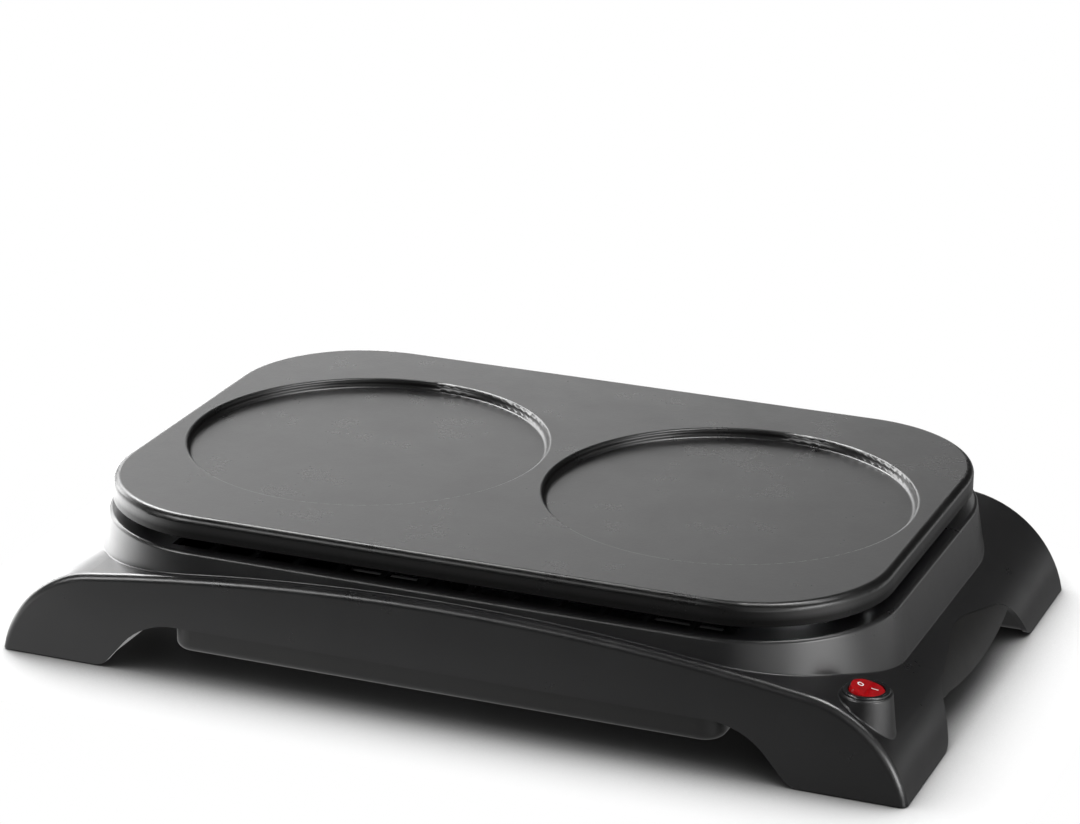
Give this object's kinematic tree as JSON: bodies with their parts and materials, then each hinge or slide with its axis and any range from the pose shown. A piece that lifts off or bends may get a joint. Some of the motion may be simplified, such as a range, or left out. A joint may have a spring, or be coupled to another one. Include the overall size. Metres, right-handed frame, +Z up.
{
  "type": "electric crepe maker",
  "caption": "Low bridge-shaped tabletop crepe maker: cast plate with round baking recesses, raised shoulder, hollow feet and a red rocker switch.",
  "frame": {"origin": "centre of the footprint, on the surface that the rubber feet stand on", "axes": "+Z up, +X right along the long side, +Y to the rear; the switch is at the front right"},
  "size_m": [0.5098, 0.31, 0.0905],
  "materials": {
    "housing_plastic": "satin moulded black polypropylene, fine spark texture",
    "pan_plastic": "moulded black, plain",
    "nonstick_coating": "cast aluminium with a dark grey non-stick coating",
    "foot_rubber": "matt black rubber",
    "zinc_steel": "zinc-plated steel",
    "nickel_steel": "nickel-plated steel strip",
    "element_sheath": "heat-darkened steel sheath",
    "reflector_sheet": "aluminised sheet",
    "cap_aluminium": "plain",
    "ceramic": "unglazed steatite ceramic",
    "glass_sleeve": "woven glass fibre",
    "switch_black": "black nylon",
    "switch_white": "natural nylon",
    "rocker_red": "translucent red polycarbonate",
    "contact_brass": "brass with silver-faced contacts",
    "lamp_glass": "clear glass glow lamp"
  },
  "bodies": {
    "base": {"base_housing": "housing_plastic", "bottom_pan": "pan_plastic", "pan_screws": "zinc_steel", "rubber_feet": "foot_rubber", "baking_plate": "nonstick_coating", "heating_element_left": "element_sheath", "heating_element_right": "element_sheath", "element_insulators": "ceramic", "element_tabs": "nickel_steel", "element_clips": "zinc_steel", "clip_screws": "zinc_steel", "heat_reflector": "reflector_sheet", "plate_spacers": "ceramic", "plate_screws": "zinc_steel", "thermostat_cap": "cap_aluminium", "thermostat_body": "switch_black", "thermostat_flange": "nickel_steel", "thermostat_screws": "zinc_steel", "thermal_fuse": "cap_aluminium", "fuse_sleeve": "glass_sleeve", "fuse_clip": "nickel_steel", "switch_case": "switch_black", "switch_terminals": "contact_brass", "switch_lamp": "lamp_glass", "cord_gland": "switch_black", "terminal_block": "switch_white", "block_screws": "zinc_steel"},
    "rocker": {"rocker": "rocker_red", "switch_plunger": "switch_white", "plunger_spring": "zinc_steel"},
    "contact": {"switch_contact": "contact_brass"}
  },
  "joints": [
    {"name": "rocker_tilt", "type": "hinge", "parent": "base", "child": "rocker", "pos_m": [0.2264, -0.1354, 0.0502], "axis": [0, 1, 0], "range_deg": [-26, 0]},
    {"name": "contact_tilt", "type": "hinge", "parent": "base", "child": "contact", "pos_m": [0.2264, -0.1354, 0.0408], "axis": [0, 1, 0], "range_deg": [0, 13]}
  ],
  "couplings": [
    {"joint": "contact_tilt", "follows": "rocker_tilt", "ratio": -0.5}
  ]
}
